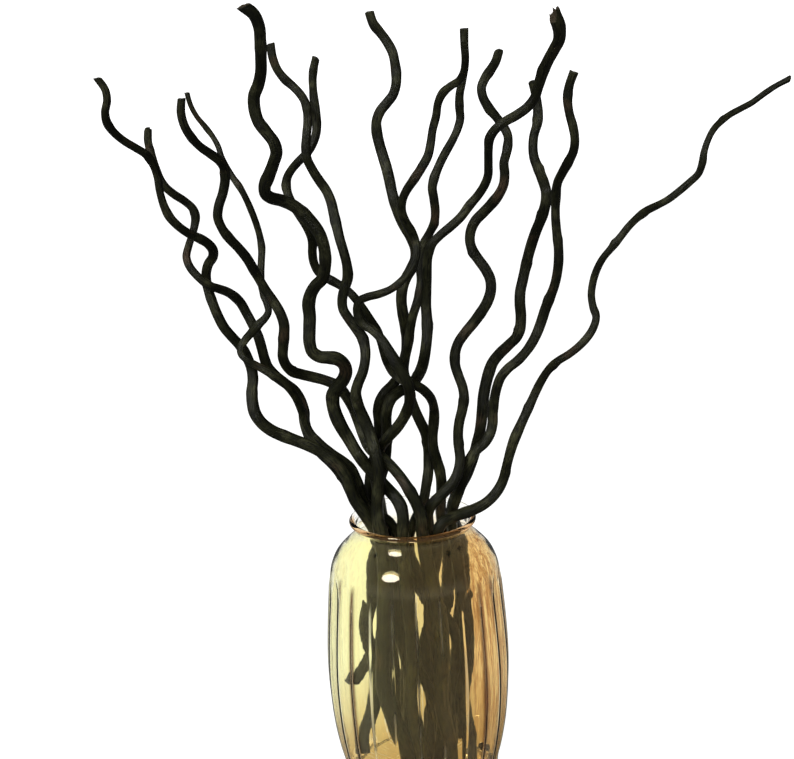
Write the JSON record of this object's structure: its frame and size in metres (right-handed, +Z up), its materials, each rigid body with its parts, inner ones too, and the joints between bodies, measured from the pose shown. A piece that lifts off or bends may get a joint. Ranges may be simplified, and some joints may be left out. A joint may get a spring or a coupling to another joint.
{
  "type": "curly willow stems in a glass vase",
  "caption": "Dark curly willow stems standing in a ribbed amber glass vase with a narrow neck and a rolled lip, for decoration; the vase holds stems or flowers.",
  "frame": {"origin": "centre of the vase's flat underside, on the surface that it stands on", "axes": "+Z up the vase's axis, +X to the right and +Y to the back as the arrangement is looked at from its front"},
  "size_m": [0.4315, 0.194, 0.5484],
  "materials": {
    "bark": "near-black dyed bark, satin, finely wrinkled lengthwise, with knots and bud scars",
    "glass": "clear amber blown glass with wide upright flutes, yellower at one side and browner at the other"
  },
  "bodies": {
    "root": {"stem_left_outer": "bark", "stem_left_inner": "bark", "stem_left_thin": "bark", "stem_left_middle": "bark", "stem_thick": "bark", "stem_front_left": "bark", "stem_back_left": "bark", "stem_tall_middle": "bark", "stem_front_middle": "bark", "stem_back_middle": "bark", "stem_broken_tip": "bark", "stem_right_hooked": "bark", "stem_right_back": "bark", "stem_right_front": "bark", "stem_right_outer": "bark", "vase": "glass"}
  },
  "joints": []
}
